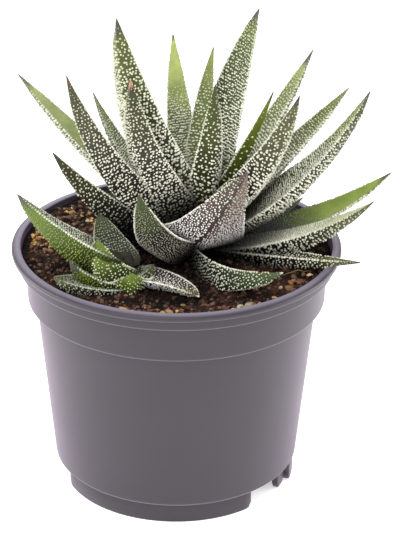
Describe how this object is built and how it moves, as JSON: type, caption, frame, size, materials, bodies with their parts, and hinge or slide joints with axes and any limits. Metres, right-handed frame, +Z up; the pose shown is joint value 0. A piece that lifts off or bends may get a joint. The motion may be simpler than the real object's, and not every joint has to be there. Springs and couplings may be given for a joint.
{
  "type": "potted haworthia",
  "caption": "Rosette succulent with stiff keeled leaves rough with white tubercles and a young offset, in dry peat soil in a round taupe nursery pot with a stepped rim.",
  "frame": {"origin": "under the middle of the bounding box, on the surface the pot stands on", "axes": "+Z up the pot and plant; -Y towards the side the picture looks from; +X to the right of the picture"},
  "size_m": [0.1392, 0.1212, 0.1839],
  "materials": {
    "pot_plastic": "satin moulded plastic",
    "peat_mix": "dry, loose and matt",
    "stem_skin": "matt",
    "leaf_green": "satin skin with matt white tubercles",
    "leaf_dark": "satin skin with matt white tubercles",
    "leaf_light": "satin skin with matt white tubercles"
  },
  "bodies": {
    "root": {"pot": "pot_plastic", "soil": "peat_mix", "stem": "stem_skin", "pup_stem": "stem_skin", "leaf_heart": "leaf_green", "leaf_front_heart": "leaf_dark", "leaf_back_left_heart": "leaf_light", "leaf_tall": "leaf_light", "leaf_tall_left": "leaf_green", "leaf_back_right_heart": "leaf_light", "leaf_blade": "leaf_green", "leaf_front_left": "leaf_dark", "leaf_right": "leaf_light", "leaf_front_right": "leaf_dark", "leaf_left_back": "leaf_green", "leaf_left_broad": "leaf_dark", "leaf_right_upper": "leaf_light", "leaf_right_big": "leaf_green", "leaf_left_long": "leaf_light", "leaf_front_broad": "leaf_green", "leaf_front_left_low": "leaf_green", "leaf_left_low": "leaf_dark", "leaf_right_low": "leaf_light", "leaf_right_front_low": "leaf_dark", "leaf_dry": "leaf_green", "leaf_front_ground": "leaf_green", "leaf_back_upper": "leaf_green", "leaf_back_left": "leaf_green", "leaf_back_low": "leaf_green", "leaf_back_right": "leaf_green", "leaf_back_left_low": "leaf_green", "leaf_back_right_low": "leaf_green", "pup_heart": "leaf_green", "pup_front": "leaf_green", "pup_long": "leaf_light", "pup_left": "leaf_light", "pup_left_low": "leaf_green", "pup_front_low": "leaf_green", "pup_right": "leaf_green", "pup_right_low": "leaf_green"}
  },
  "joints": []
}
